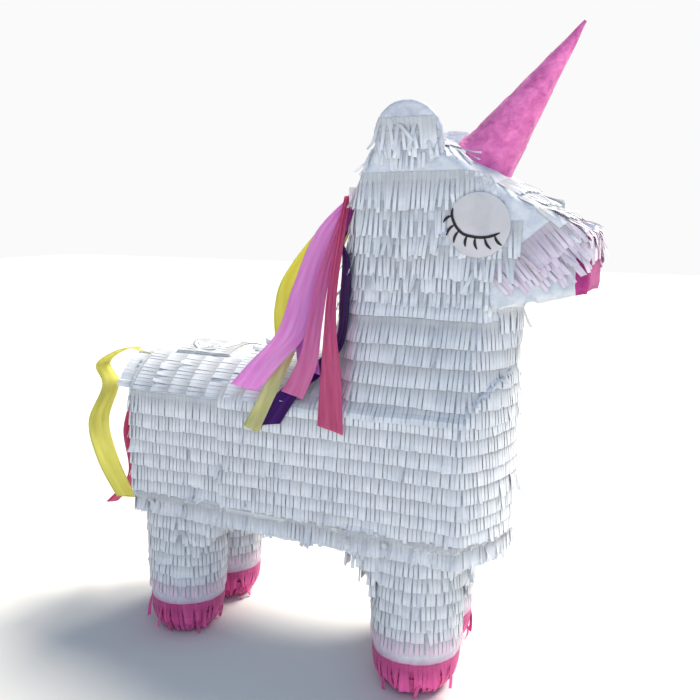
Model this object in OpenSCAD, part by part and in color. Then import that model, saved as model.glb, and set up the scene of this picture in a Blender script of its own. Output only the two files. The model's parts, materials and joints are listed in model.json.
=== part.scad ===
// Unicorn pinata: a hollow cardboard animal covered in rows of cut tissue fringe.
// +X runs towards the nose, +Y towards the animal's left, +Z up, and the floor is z = 0.
// Heights are above the floor. Distances along X are from a plumb line through the shoulders.

/* [Torso] */
// Width across the flat sides
torso_w = 147; // [138:1:156]
// Length from the middle of the rump to the middle of the chest
torso_l = 388; // [384:1:394]
// Height of the underside
belly_z = 150; // [144:1:156]
// Height of the crown of the back
back_z = 302; // [298:1:306]
// Rise of the crowned back above the tops of the sides
crown = 40; // [36:1:44]
// How far the chest bulges in front of its corners
chest_bulge = 27; // [20:1:32]
// Cardboard thickness
card_t = 3; // [2:0.5:4]
// Depth of the tissue fringe over the cardboard
fringe_t = 3; // [2:0.5:3]

/* [Neck and head] */
// Width of the head across the cheeks
head_w = 92; // [88:1:96]
// Width of the nose end
nose_w = 60; // [52:1:66]
// Height where the neck ends and the head starts
head_z = 364; // [360:1:368]
// Distance from the shoulder line to the tip of the nose
nose_x = 236; // [231:1:241]
// Diameter of an ear
ear_d = 64; // [56:1:66]
// Diameter of an eye sticker
eye_d = 55; // [48:1:58]

/* [Horn] */
// Length of the horn along its axis
horn_l = 142; // [130:1:150]
// Diameter of the horn's base
horn_d = 60; // [54:1:62]
// Forward lean of the horn from upright
horn_lean = 36; // [33:1:38]

/* [Legs] */
// Length of a leg along the body where it meets the torso
leg_top_l = 88; // [80:1:92]
// Width of a leg across the body where it meets the torso
leg_top_w = 68; // [62:1:68]
// Outer diameter of a front leg at the floor
front_foot_d = 78; // [72:1:80]
// Outer diameter of a hind leg at the floor
hind_foot_d = 72; // [68:1:78]
// Height of the pink hooves
hoof_h = 38; // [32:1:44]

/* [Fill door] */
// Side of the square door cut in the back
door = 66; // [60:1:68]
// Diameter of the round paper label on the door
label_d = 58; // [50:1:60]

/* [Streamers] */
// Thickness of a strip of crepe paper
paper_t = 0.8; // [0.6:0.1:1]
// Scale of the streamers' widths
strip_scale = 1; // [0.8:0.05:1.1]

/* [Hidden] */
$fn = 64;
// Facets of the large arcs
arc_fn = 240;

// Hindmost point of the tail, and the shift that puts the origin under the middle of the length
tail_tip_x = -316;
frame_x = -(tail_tip_x + nose_x) / 2;
// Gap between neighbouring layers
gap = 0.3;
big = 600;

// Torso
half_w = torso_w / 2;
crown_r = (half_w ^ 2 + crown ^ 2) / (2 * crown);
crown_z = back_z - crown_r;
side_top_z = back_z - crown;
side_z = side_top_z - 2;
panel_lap = 2 * card_t;
rump_x = -218;
rump_bulge = 7;
rump_side_x = rump_x + rump_bulge;
rump_top_r = 34;
chest_x = rump_x + torso_l;
chest_side_x = chest_x - chest_bulge;
rump_r = (half_w ^ 2 + rump_bulge ^ 2) / (2 * rump_bulge);
chest_r = (half_w ^ 2 + chest_bulge ^ 2) / (2 * chest_bulge);

// Neck and head
neck_back_x = 38;
nape_depth = 34;
neck_base_half = half_w - 3;
neck_bulge = chest_bulge - 4;
neck_z = side_top_z - 1;
head_half = head_w / 2;
throat_x = 158;
nose_half = nose_w / 2;
nose_low_z = 381;
nose_top_z = 424;
nose_t = 6;
muzzle_x = 186;

// Ears, eyes and horn
ear_x = 82;
ear_z = 507;
ear_base = 14;
ear_t = 5;
ear_lean = [12, 50]; // right, left: the left one has flopped outwards
eye_x = 147;
eye_z = 433;
eye_t = 0.6;
horn_x = 135;
horn_z = 486;
horn_tip_r = 1.6;
horn_wrap_t = 1.2;

// Legs
leg_top_y = 37.5;
leg_foot_y = 43;
leg_end = 10;
hoof_cap_h = 30;
hoof_sole_r = 13;

// Tape over the tied ends of the streamers: x, y and z ranges
mane_tape = [16, 19, -28, 10, 448, 466];
tail_tape = [-229, -222, -17, 17, 262, 282];

// Fill door
door_x = -148;
door_gap = 0.6;
label_t = 0.4;
flap_rise = fringe_t - 2 * gap;

// ---------------------------------------------------------------- shared shapes

// A named piece's colour, in the frame whose origin is under the middle of the length
module part(c) color(c) translate([frame_x, 0, 0]) children();

module slab(x0, x1, y0, y1, z0, z1) translate([x0, y0, z0]) cube([x1 - x0, y1 - y0, z1 - z0]);

module side_view(w) rotate([90, 0, 0]) linear_extrude(w, center = true) children();

// Solid shape of the torso, drawn in by i all round
module torso_form(i) intersection() {
    translate([-big / 2, 0, 0]) rotate([90, 0, 90]) linear_extrude(big) intersection() {
        translate([-half_w + i, belly_z + i]) square([torso_w - 2 * i, big]);
        union() {
            translate([0, crown_z]) circle(crown_r - i, $fn = arc_fn);
            translate([-half_w, 0]) square([torso_w, crown_z]);
        }
    }
    linear_extrude(big) union() {
        translate([rump_side_x, -half_w + i]) square([chest_side_x - rump_side_x, torso_w - 2 * i]);
        intersection() {
            translate([rump_x + rump_r, 0]) circle(rump_r - i, $fn = 3 * arc_fn);
            translate([rump_x, -half_w + i]) square([torso_l / 2, torso_w - 2 * i]);
        }
        intersection() {
            translate([chest_x - chest_r, 0]) circle(chest_r - i, $fn = arc_fn);
            translate([chest_x - torso_l / 4, -half_w + i]) square([torso_l, torso_w - 2 * i]);
        }
    }
    side_view(big) union() {
        translate([rump_x + rump_top_r, 0]) square([torso_l + 2 * chest_bulge, big]);
        translate([rump_x + i, 0]) square([rump_top_r, back_z - rump_top_r]);
        translate([rump_x + rump_top_r, back_z - rump_top_r]) circle(rump_top_r - i);
    }
}

// One level of the neck: chamfered behind, bulging in front
function neck_at(z, low, high) = low + (high - low) * (z - neck_z) / (head_z - neck_z);
module neck_level(z, i) {
    half = neck_at(z, neck_base_half, head_half);
    front = neck_at(z, chest_side_x - 2, throat_x - 6);
    translate([0, 0, z]) linear_extrude(0.1) polygon([
        [neck_back_x - nape_depth + i, half * 0.42], [neck_back_x - nape_depth + i, -half * 0.42],
        [neck_back_x + i / 2, -half + i],
        for (s = [-1:0.25:1]) [front + neck_bulge * (1 - s ^ 2) - i, s * (half - i)],
        [neck_back_x + i / 2, half - i]
    ]);
}

// Solid shape of the neck, from the shoulders up to the head; over lengthens it at both ends
module neck_form(i, over = 0) hull() {
    neck_level(neck_z - over, i);
    neck_level(head_z - gap + over, i);
}

// Side outline of the head behind the muzzle
module head_outline(i) offset(delta = -i) polygon([
    [neck_back_x, head_z], [throat_x + 9, head_z], [throat_x + 9, 458], [138, 477],
    [114, 493], [84, 501], [52, 500], [36, 470]
]);

// Solid shape of the head: flat cheeks, a crowned forehead, a chamfered back and a tapered muzzle
module head_form(i) intersection() {
    hull() {
        side_view(head_w - 2 * i) head_outline(i);
        side_view(head_w * 0.42) offset(delta = -i) polygon([
            [6, head_z], [150, head_z], [166, 466], [138, 487], [112, 503], [84, 510], [52, 508],
            [30, 476], [24, 450]
        ]);
        slab(nose_x - nose_t, nose_x - max(i, 0), -nose_half + i, nose_half - i,
             nose_low_z + i, nose_top_z - i);
    }
    slab(-big, big, -big, big, head_z + 0.01, big);
}

// A leg between two heights: oval where it meets the torso and round at the foot.
// side is 1 for left and -1 for right, and i draws the surface in.
module leg_form(x, side, foot_d, i, z0, z1) intersection() {
    hull() {
        for (dx = [-1, 1] * (leg_top_l - leg_top_w) / 2)
            translate([x + dx, side * leg_top_y, belly_z]) leg_disc(leg_top_w / 2 - i);
        translate([x, side * leg_foot_y, -leg_end]) leg_disc(foot_d / 2 - i);
    }
    slab(x - 80, x + 80, -150, 150, z0, z1);
}
module leg_disc(r) cylinder(h = leg_end, r = r, $fn = 40);

// ---------------------------------------------------------------- torso panels

module torso_shell() difference() {
    torso_form(0);
    torso_form(card_t);
}

module torso_panel(y0, y1, z0, z1) part("#cdb48c") intersection() {
    torso_shell();
    slab(rump_side_x + panel_lap, chest_side_x, y0, y1, z0, z1);
}

module torso_side_right() mirror([0, 1, 0]) torso_side_left();
module torso_side_left() torso_panel(0, half_w, belly_z + panel_lap, side_z);
module torso_belly() torso_panel(-half_w, half_w, 0, belly_z + panel_lap);

module door_hole(d, z) slab(door_x - d / 2, door_x + d / 2, -d / 2, d / 2, z, big);

module torso_back() difference() {
    torso_panel(-half_w, half_w, side_z, big);
    part("#cdb48c") door_hole(door + 2 * door_gap, side_top_z);
}

module torso_rump() part("#cdb48c") intersection() {
    torso_shell();
    slab(-big, rump_side_x + panel_lap, -half_w, half_w, 0, big);
}

module torso_chest() part("#cdb48c") intersection() {
    torso_shell();
    slab(chest_side_x, big, -half_w, half_w, 0, big);
}

// The door keeps the curve of the back, and stands up level with the fringe round it
module fill_flap() part("#f1f1ee") intersection() {
    difference() {
        torso_form(-flap_rise);
        torso_form(card_t);
    }
    door_hole(door, side_top_z);
}

module fill_label() part("#fafaf7") intersection() {
    difference() {
        torso_form(-flap_rise - label_t);
        torso_form(-flap_rise);
    }
    translate([door_x, 0, side_top_z]) cylinder(h = big, r = label_d / 2);
}

// ---------------------------------------------------------------- neck and head panels

module neck_shell() difference() {
    neck_form(0);
    neck_form(card_t, 9);
    torso_form(0);
}

module neck_panel(x0, x1, y0, y1) part("#cdb48c") intersection() {
    neck_shell();
    slab(x0, x1, y0, y1, 0, big);
}

module neck_nape() neck_panel(-big, neck_back_x, -big, big);
module neck_side_right() neck_panel(neck_back_x, throat_x - 16, -big, 0);
module neck_side_left() neck_panel(neck_back_x, throat_x - 16, 0, big);
module neck_throat() neck_panel(throat_x - 16, big, -big, big);

// The head's shell is open below, where the neck comes up into it
module head_shell() difference() {
    head_form(0);
    head_form(card_t);
    slab(10, throat_x - 4, -head_half + card_t + 4, head_half - card_t - 4, 0, head_z + 2 * card_t);
}

// Lower edge of the forehead panel and upper edge of the jaw panel, as seen from the side
module crown_region() side_view(big) polygon([
    [-50, head_z], [36, head_z], [40, 464], [56, 490], [84, 491], [112, 483], [160, 452],
    [nose_x, nose_top_z - 6], [nose_x + 20, 440], [nose_x, 560], [-50, 560]
]);
module jaw_region() side_view(big) polygon([
    [throat_x, 0], [throat_x, head_z + card_t], [nose_x, nose_low_z + card_t], [nose_x + 20, 0]
]);

module head_crown() part("#cdb48c") difference() {
    intersection() {
        head_shell();
        crown_region();
    }
    slab(nose_x - nose_t, big, -big, big, 0, big);
}

module head_jaw() part("#cdb48c") difference() {
    intersection() {
        head_shell();
        jaw_region();
    }
    slab(nose_x - nose_t, big, -big, big, 0, big);
}

module head_side(side) part("#cdb48c") intersection() {
    difference() {
        head_shell();
        crown_region();
        jaw_region();
    }
    translate([0, side * big / 2, 0]) cube([2 * (nose_x - nose_t), big, 2 * big], center = true);
}

module head_side_right() head_side(-1);
module head_side_left() head_side(1);

module nose_cap() part("#b0387f") intersection() {
    head_form(0);
    slab(nose_x - nose_t, big, -big, big, 0, big);
}

// ---------------------------------------------------------------- horn, ears and eyes

// A cone along the horn's axis, drawn in by i
module horn_cone(i) translate([horn_x, 0, horn_z]) rotate([0, horn_lean, 0]) translate([0, 0, -horn_d / 4])
    cylinder(h = horn_l + horn_d / 4 - i, r1 = horn_d / 2 - i, r2 = max(horn_tip_r - i, 0.3));

module horn_core() part("#cdb48c") difference() {
    horn_cone(horn_wrap_t + gap);
    horn_cone(horn_wrap_t + gap + 2);
    head_form(0);
}

module horn_wrap() part("#d063a8") difference() {
    horn_cone(0);
    horn_cone(horn_wrap_t);
    head_form(-gap);
}

module ear(side) part("#dfe3ea") difference() {
    lean = ear_lean[side > 0 ? 1 : 0];
    translate([ear_x, side * (head_half - 1), ear_z - ear_base]) rotate([-side * lean, 0, 0])
        side_view(ear_t) union() {
            intersection() {
                translate([0, ear_base]) circle(ear_d / 2);
                translate([-ear_d / 2, ear_base]) square(ear_d);
            }
            translate([-ear_d / 2, 0]) square([ear_d, ear_base]);
        }
    head_form(-gap);
}

module ear_right() ear(-1);
module ear_left() ear(1);

eye_y = head_half + fringe_t + gap;

// Eye pieces are drawn from the right side; mirror gives the left one
module on_cheek(side, out, t) mirror([0, side > 0 ? 1 : 0, 0])
    translate([eye_x, -eye_y - out, eye_z]) rotate([90, 0, 0]) linear_extrude(t) children();

module eye_sticker(side) part("#e4e2e6") on_cheek(side, 0, eye_t) circle(eye_d / 2);

// The closed lid is an arc about a point above the middle, with lashes fanned below it
lid_r = 26;
lid_w = 2.4;
lash_l = 10;
module lashes(side) part("#17171a") on_cheek(side, eye_t, gap) translate([3, 16]) {
    intersection() {
        difference() {
            circle(lid_r + lid_w / 2);
            circle(lid_r - lid_w / 2);
        }
        polygon([[0, 0], 60 * [cos(183), sin(183)], 80 * [cos(225), sin(225)],
                 80 * [cos(270), sin(270)], 60 * [cos(303), sin(303)]]);
    }
    for (k = [0:6]) rotate(190 + 18 * k) translate([lid_r, -lid_w / 2]) square([lash_l, lid_w]);
}

module eye_sticker_right() eye_sticker(-1);
module eye_sticker_left() eye_sticker(1);
module lashes_right() lashes(-1);
module lashes_left() lashes(1);

// ---------------------------------------------------------------- legs and hooves

front_x = [96, 82]; // right, left: the left leg stands a little further back
hind_x = [-168, -173];

module leg(x, side, foot_d) part("#cdb48c") difference() {
    leg_form(x, side, foot_d, 0, hoof_cap_h, belly_z);
    leg_form(x, side, foot_d, card_t, 0, big);
}

// A hoof is a bowl that stands on a small flat sole
module hoof(x, side, foot_d) part("#d8458f") translate([x, side * leg_foot_y, 0]) rotate_extrude() polygon([
    [0, 0],
    for (a = [0:10:90]) [
        hoof_sole_r + (foot_d / 2 - hoof_sole_r) * sin(a),
        (hoof_cap_h - gap) * (1 - cos(a))
    ],
    [0, hoof_cap_h - gap]
]);

module leg_skin(x, side, foot_d, z0, z1) difference() {
    leg_form(x, side, foot_d, -fringe_t, z0, z1);
    leg_form(x, side, foot_d, -gap, 0, big);
}

module leg_fringe(x, side, foot_d) part("#f2f4f8") leg_skin(x, side, foot_d, hoof_h, belly_z - gap);
module hoof_fringe(x, side, foot_d) part("#e2559b") leg_skin(x, side, foot_d, hoof_cap_h, hoof_h - gap);

module leg_front_right() leg(front_x[0], -1, front_foot_d);
module leg_front_left() leg(front_x[1], 1, front_foot_d);
module leg_hind_right() leg(hind_x[0], -1, hind_foot_d);
module leg_hind_left() leg(hind_x[1], 1, hind_foot_d);
module hoof_front_right() hoof(front_x[0], -1, front_foot_d);
module hoof_front_left() hoof(front_x[1], 1, front_foot_d);
module hoof_hind_right() hoof(hind_x[0], -1, hind_foot_d);
module hoof_hind_left() hoof(hind_x[1], 1, hind_foot_d);
module leg_fringe_front_right() leg_fringe(front_x[0], -1, front_foot_d);
module leg_fringe_front_left() leg_fringe(front_x[1], 1, front_foot_d);
module leg_fringe_hind_right() leg_fringe(hind_x[0], -1, hind_foot_d);
module leg_fringe_hind_left() leg_fringe(hind_x[1], 1, hind_foot_d);
module hoof_fringe_front_right() hoof_fringe(front_x[0], -1, front_foot_d);
module hoof_fringe_front_left() hoof_fringe(front_x[1], 1, front_foot_d);
module hoof_fringe_hind_right() hoof_fringe(hind_x[0], -1, hind_foot_d);
module hoof_fringe_hind_left() hoof_fringe(hind_x[1], 1, hind_foot_d);

// ---------------------------------------------------------------- fringe layers

module torso_skin(z0, z1) difference() {
    intersection() {
        torso_form(-fringe_t);
        slab(-big, big, -big, big, z0, z1);
    }
    torso_form(-gap);
}

module torso_fringe() part("#f2f4f8") torso_skin(belly_z, side_z);

module back_fringe() part("#f2f4f8") difference() {
    torso_skin(side_z + gap, big);
    neck_form(-fringe_t - gap, gap);
    door_hole(door + 3 * door_gap, side_top_z);
}

module neck_fringe() part("#f2f4f8") difference() {
    neck_form(-fringe_t);
    neck_form(-gap, 9);
    torso_form(-fringe_t - gap);
}

module head_skin(x0, x1) difference() {
    intersection() {
        head_form(-fringe_t);
        slab(x0, x1, -big, big, head_z + gap, big);
    }
    head_form(-gap);
    slab(10, throat_x - 4, -head_half + card_t + 4, head_half - card_t - 4, 0, head_z + 2 * card_t);
    horn_cone(-gap);
    for (side = [-1, 1]) slab(ear_x - ear_d / 2 - 1, ear_x + ear_d / 2 + 1, side * head_half - 9,
                              side * head_half + 9, ear_z - 16, big);
}

module head_fringe() part("#f2f4f8") head_skin(-big, muzzle_x);
module muzzle_fringe() part("#ead9ec") head_skin(muzzle_x + gap, nose_x - nose_t + 2);

// ---------------------------------------------------------------- mane and tail

// A strip of crepe paper through stations of [x, y, z, heading about Z, width]
module strip(stations) for (k = [0:len(stations) - 2]) hull() {
    crossbar(stations[k]);
    crossbar(stations[k + 1]);
}
module crossbar(s) translate([s[0], s[1], s[2]]) rotate([0, 0, s[3]])
    cube([paper_t, s[4] * strip_scale, paper_t], center = true);

module tape(r) slab(r[0], r[1], r[2], r[3], r[4], r[5]);
module mane_tie() part("#f4e9f2") tape(mane_tape);
module tail_tie() part("#f4e9f2") tape(tail_tape);

module mane_yellow() part("#e6ea55") strip([
    [12.8, 6, 459, -30, 7], [-22, 2, 426, -50, 16], [-50, -10, 381, -60, 24], [-54, -22, 350, -60, 25],
    [-46, -36, 318, -60, 24]
]);
module mane_orange() part("#c65a3c") strip([
    [12.8, -1, 459, -30, 6], [-16, -8, 412, -60, 16], [-34, -20, 366, -60, 24], [-36, -36, 330, -60, 22]
]);
module mane_pink() part("#e58cc4") strip([
    [12.8, -9, 460, -30, 7], [-4, -36, 424, -65, 20], [-12, -62, 374, -65, 24], [-18, -77, 334, -74, 28],
    [-44, -81.5, 304, -86, 32], [-68, -81.5, 278, -88, 34]
]);
module mane_rose() part("#ee7fb5") strip([
    [12.8, -17, 459, -30, 6], [4, -50, 396, -70, 11], [5, -75, 345, -84, 14], [0, -81.7, 308, -88, 20],
    [-16, -81.7, 276, -90, 26]
]);
module mane_magenta() part("#dd5f93") strip([
    [12.8, -25, 458, -30, 6], [16, -59, 384, -82, 9], [21, -77, 340, -88, 12], [22, -78.2, 300, -90, 20],
    [22, -78.2, 246, -90, 26]
]);
module mane_mauve() part("#b56bb2") strip([
    [12, -10, 447, -30, 6], [-3, -44, 385, -65, 14], [-7, -67, 334, -76, 20], [1, -80.2, 300, -88, 22]
]);
module mane_purple() part("#5a1593") strip([
    [14.4, -2, 449, -10, 6], [15, -9, 441, 0, 6], [13.8, -18, 430, 15, 8], [12.2, -32, 415, 33, 14],
    [19.1, -39.1, 398, 48, 20], [17.4, -38.5, 360, 50, 22], [15.6, -45, 325, 50, 20], [2, -62, 300, 75, 20],
    [-20, -78.2, 278, 90, 22], [-44, -78.2, 244, 90, 24]
]);
module mane_lime() part("#dfe690") strip([
    [12.8, 5, 450, -30, 6], [-18, -24, 370, -60, 12], [-30, -58, 318, -74, 14], [-40, -80.4, 278, -88, 16],
    [-62, -80.4, 238, -90, 20]
]);

module tail_yellow() part("#e3e46a") strip([
    [-231, -8, 284, 0, 8], [-262, -10, 292, 0, 16], [-300, -12, 272, -10, 20], [-289, -14, 248, -20, 22],
    [-308, -16, 204, -30, 24], [-297, -16, 160, -30, 24], [-270, -18, 118, -30, 20]
]);
module tail_crimson() part("#b8416f") strip([
    [-231, 0, 278, 0, 6], [-258, 0, 242, -10, 14], [-276, 3, 195, -30, 20], [-274, 8, 140, -30, 24],
    [-312, 6, 98, -20, 20]
]);
module tail_maroon() part("#8a2338") strip([
    [-231, 7, 274, 0, 6], [-247, 15, 236, 0, 18], [-256, 20, 180, -20, 24], [-260, 22, 118, -20, 24]
]);
module tail_purple() part("#6a1f7c") strip([
    [-231, 14, 272, 0, 6], [-240, 34, 230, 0, 18], [-244, 40, 140, -10, 24], [-246, 40, 56, -10, 24]
]);

// ---------------------------------------------------------------- what is drawn

torso_side_right();
torso_side_left();
torso_back();
torso_belly();
torso_rump();
torso_chest();
neck_side_right();
neck_side_left();
neck_nape();
neck_throat();
head_side_right();
head_side_left();
head_crown();
head_jaw();
nose_cap();
horn_core();
horn_wrap();
ear_right();
ear_left();
eye_sticker_right();
eye_sticker_left();
lashes_right();
lashes_left();
leg_front_right();
leg_front_left();
leg_hind_right();
leg_hind_left();
hoof_front_right();
hoof_front_left();
hoof_hind_right();
hoof_hind_left();
leg_fringe_front_right();
leg_fringe_front_left();
leg_fringe_hind_right();
leg_fringe_hind_left();
hoof_fringe_front_right();
hoof_fringe_front_left();
hoof_fringe_hind_right();
hoof_fringe_hind_left();
fill_flap();
fill_label();
torso_fringe();
back_fringe();
neck_fringe();
head_fringe();
muzzle_fringe();
mane_tie();
tail_tie();
mane_yellow();
mane_orange();
mane_pink();
mane_rose();
mane_magenta();
mane_mauve();
mane_purple();
mane_lime();
tail_yellow();
tail_crimson();
tail_maroon();
tail_purple();
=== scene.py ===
# %% [markdown]
# # A unicorn pinata in cut tissue
# The real thing is a cardboard box animal with rows of cut tissue fringe glued round it, crepe streamers
# for its mane and tail, and a paper horn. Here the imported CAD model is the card, and everything made of
# paper is built round it, in the same place and in metres.

# %% Load the frame
import json
import math
import random

import bmesh
import bpy
from mathutils import Matrix, Vector, noise
from mathutils.bvhtree import BVHTree


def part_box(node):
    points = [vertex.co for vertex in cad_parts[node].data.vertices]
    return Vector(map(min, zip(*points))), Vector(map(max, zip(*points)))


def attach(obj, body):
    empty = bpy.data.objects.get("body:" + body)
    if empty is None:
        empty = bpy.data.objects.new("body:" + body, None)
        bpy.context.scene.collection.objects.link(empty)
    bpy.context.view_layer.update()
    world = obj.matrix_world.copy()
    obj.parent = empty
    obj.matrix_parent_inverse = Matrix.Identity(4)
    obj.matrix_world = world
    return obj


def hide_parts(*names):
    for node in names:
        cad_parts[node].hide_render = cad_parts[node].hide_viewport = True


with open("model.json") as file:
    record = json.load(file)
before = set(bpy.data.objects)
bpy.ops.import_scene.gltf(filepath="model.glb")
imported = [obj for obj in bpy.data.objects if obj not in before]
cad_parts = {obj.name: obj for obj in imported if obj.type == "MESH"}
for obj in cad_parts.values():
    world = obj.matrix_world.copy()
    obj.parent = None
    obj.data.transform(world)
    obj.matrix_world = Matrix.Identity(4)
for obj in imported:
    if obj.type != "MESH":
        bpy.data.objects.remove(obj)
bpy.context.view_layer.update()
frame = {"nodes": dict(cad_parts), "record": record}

MM = 0.001
UP, DOWN = Vector((0, 0, 1)), Vector((0, 0, -1))
nodes = frame["nodes"]
# Lengths along X are taken from a plumb line through the shoulders, 236 mm behind the tip of the nose
shoulder_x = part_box("nose_cap")[1].x - 236 * MM


def at(x, y, z):
    """A place given in millimetres from the shoulder line, the middle and the floor"""
    return Vector((shoulder_x + x * MM, y * MM, z * MM))


# %% [markdown]
# ## Camera
# A camera is a lens, a place and a turn. The place is given as a direction and a distance from the point it
# looks at, because that is how a person walks round an object.

# %% Camera
azimuth, elevation, roll = (math.radians(a) for a in (25.0, 9.4, 0.4))
look_at, distance = Vector((0.0449, 0, 0.3078)), 0.8169
back = Vector((math.sin(azimuth) * math.cos(elevation), -math.cos(azimuth) * math.cos(elevation),
               math.sin(elevation)))
right = Vector((math.cos(azimuth), math.sin(azimuth), 0))
turn = Matrix((right, back.cross(right), back)).transposed() @ Matrix.Rotation(roll, 3, "Z")
lens = bpy.data.cameras.new("camera")
lens.sensor_width, lens.lens = 36, 42.19
camera = bpy.data.objects.new("camera", lens)
camera.location, camera.rotation_euler = look_at + back * distance, turn.to_euler()
bpy.context.scene.collection.objects.link(camera)
bpy.context.scene.camera = camera
print("camera", [round(c, 3) for c in camera.location])

# %% [markdown]
# ## Small helpers
# Colours are picked as sRGB hex values, and Blender wants linear light, so one function turns them. One
# other function adds a shader node with its settings and links. Both are used by every material below.

# %% Colour and node helpers


def paint(code):
    """An sRGB hex colour as linear RGBA"""
    parts = [int(code[i:i + 2], 16) / 255 for i in (1, 3, 5)]
    return tuple(p / 12.92 if p <= 0.04045 else ((p + 0.055) / 1.055) ** 2.4 for p in parts) + (1,)


def add(material, kind, sockets=None, **settings):
    """Adds one node. Each socket gets a value, or a link from another node's output."""
    tree = material.node_tree
    node = tree.nodes.new("ShaderNode" + kind)
    for key, value in settings.items():
        setattr(node, key, value)
    for key, value in (sockets or {}).items():
        if isinstance(value, bpy.types.NodeSocket):
            tree.links.new(value, node.inputs[key])
        else:
            node.inputs[key].default_value = value
    return node


def blank(name):
    material = bpy.data.materials.new(name)
    material.use_nodes = True
    material.node_tree.nodes.clear()
    return material


def blend_colours(material, fac, a, b, mode="MIX"):
    mix = add(material, "Mix", {0: fac, 6: a, 7: b}, data_type="RGBA", blend_type=mode)
    return mix.outputs[2]


# %% [markdown]
# ## Tissue paper
# Fringe is made of bleached tissue, 0.03 mm thick. It is soft and matt, each strand takes the light at its
# own angle, and creases run along it. The strands differ a little in tone, which is kept in an attribute on
# the faces. The dye of the pink hooves shows through the lowest white rows, so the colour also changes with
# height.

# %% Tissue materials


def tissue(name, light, shade, low=None, low_z=(30, 60), crease=0.25, shade_under=0.68):
    """Tissue whose tone goes from shade to light, and whose colour turns to low near the floor. Its colour is
    painted darker where the row above covers it, down to shade_under of itself: painted shade."""
    m = blank(name)
    tone = add(m, "Attribute", attribute_name="tone").outputs["Fac"]
    place = add(m, "TexCoord").outputs["Object"]
    colour = blend_colours(m, tone, paint(shade), paint(light))
    if low:
        height = add(m, "SeparateXYZ", {0: place}).outputs[2]
        fade = add(m, "MapRange", {0: height, 1: low_z[0] * MM, 2: low_z[1] * MM, 3: 1.0, 4: 0.0})
        colour = blend_colours(m, fade.outputs[0], colour, paint(low))
    # Cloudy paper pulp, with clouds about 9 mm across
    cloud = add(m, "TexNoise", {"Vector": place, "Scale": 1 / (9 * MM), "Detail": 3.0})
    cloudy = add(m, "MapRange", {0: cloud.outputs[0], 1: 0.3, 2: 0.7, 3: 0.93, 4: 1.04})
    colour = blend_colours(m, 1.0, colour, cloudy.outputs[0], "MULTIPLY")
    # Painted shadow: the colour is darker in the gap beside a strand and in the space under the row above
    run = add(m, "SeparateXYZ", {0: add(m, "UVMap", uv_map="fall").outputs[0]})
    under = add(m, "MapRange", {0: run.outputs[1], 1: 0.28, 2: 0.8, 3: shade_under, 4: 1.0})
    off_centre = add(m, "Math", {0: run.outputs[0], 1: 0.5}, operation="SUBTRACT")
    to_edge = add(m, "Math", {0: off_centre.outputs[0]}, operation="ABSOLUTE")
    beside = add(m, "MapRange", {0: to_edge.outputs[0], 1: 0.36, 2: 0.5, 3: 1.0, 4: 0.8})
    shadow = add(m, "Math", {0: under.outputs[0], 1: beside.outputs[0]}, operation="MULTIPLY")
    colour = blend_colours(m, 1.0, colour, shadow.outputs[0], "MULTIPLY")
    # Creases along a strand: the strand map runs 0 to 1 across each strand, about 4.2 mm
    strand = add(m, "UVMap", uv_map="strand").outputs[0]
    stretched = add(m, "Mapping", {"Vector": strand, "Scale": (3.0, 1.2, 1.0)})
    creases = add(m, "TexNoise", {"Vector": stretched.outputs[0], "Scale": 1.6, "Detail": 2.0})
    bump = add(m, "Bump", {"Height": creases.outputs[0], "Strength": crease, "Distance": 0.8 * MM})
    shader = add(m, "BsdfPrincipled", {"Base Color": colour, "Roughness": 0.72, "IOR": 1.47,
                                       "Specular IOR Level": 0.3, "Sheen Weight": 0.12,
                                       "Normal": bump.outputs[0]})
    add(m, "OutputMaterial", {0: shader.outputs[0]})
    return m


white_tissue = tissue("white tissue, cut", "#F4F7FB", "#D9E0EA", low="#EFC6DE", low_z=(38, 66))
lilac_tissue = tissue("lilac tissue, cut", "#F1E9F3", "#DCCBE2")
hot_pink_tissue = tissue("hot pink tissue, cut", "#FF6DB4", "#DC4A96")
print("tissue", white_tissue.name, lilac_tissue.name, hot_pink_tissue.name)

# %% [markdown]
# The paper under the fringe is one skin of the same tissue, glued flat and slightly crumpled. It has no
# strands, so its creases come from object coordinates. It is a little greyer, as it lies in the shade of
# the fringe.

# %% Skin, card and label paper materials


def crumpled(name, light, shade, low=None, low_z=(30, 44), fold=14, depth=0.6, rough=0.7, sheen=0.1):
    """Plain paper with soft folds about fold mm apart, painted darker in the fold hollows as painted shade"""
    m = blank(name)
    place = add(m, "TexCoord").outputs["Object"]
    folds = add(m, "TexNoise", {"Vector": place, "Scale": 1 / (fold * MM), "Detail": 4.0, "Distortion": 0.6})
    # Painted shade: the colour runs from shade in the fold hollows to light on the ridges
    soft = add(m, "MapRange", {0: folds.outputs[0], 1: 0.3, 2: 0.7})
    colour = blend_colours(m, soft.outputs[0], paint(shade), paint(light))
    if low:
        height = add(m, "SeparateXYZ", {0: place}).outputs[2]
        fade = add(m, "MapRange", {0: height, 1: low_z[0] * MM, 2: low_z[1] * MM, 3: 1.0, 4: 0.0})
        colour = blend_colours(m, fade.outputs[0], colour, paint(low))
    cells = add(m, "TexVoronoi", {"Vector": place, "Scale": 1 / (fold * 0.6 * MM)},
                feature="DISTANCE_TO_EDGE")
    edges = add(m, "MapRange", {0: cells.outputs[0], 1: 0.0, 2: 0.25})
    height = add(m, "Math", {0: folds.outputs[0], 1: edges.outputs[0]}, operation="ADD")
    bump = add(m, "Bump", {"Height": height.outputs[0], "Strength": 0.35, "Distance": depth * MM})
    shader = add(m, "BsdfPrincipled", {"Base Color": colour, "Roughness": rough, "IOR": 1.47,
                                       "Specular IOR Level": 0.3, "Sheen Weight": sheen,
                                       "Normal": bump.outputs[0]})
    add(m, "OutputMaterial", {0: shader.outputs[0]})
    return m


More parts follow.
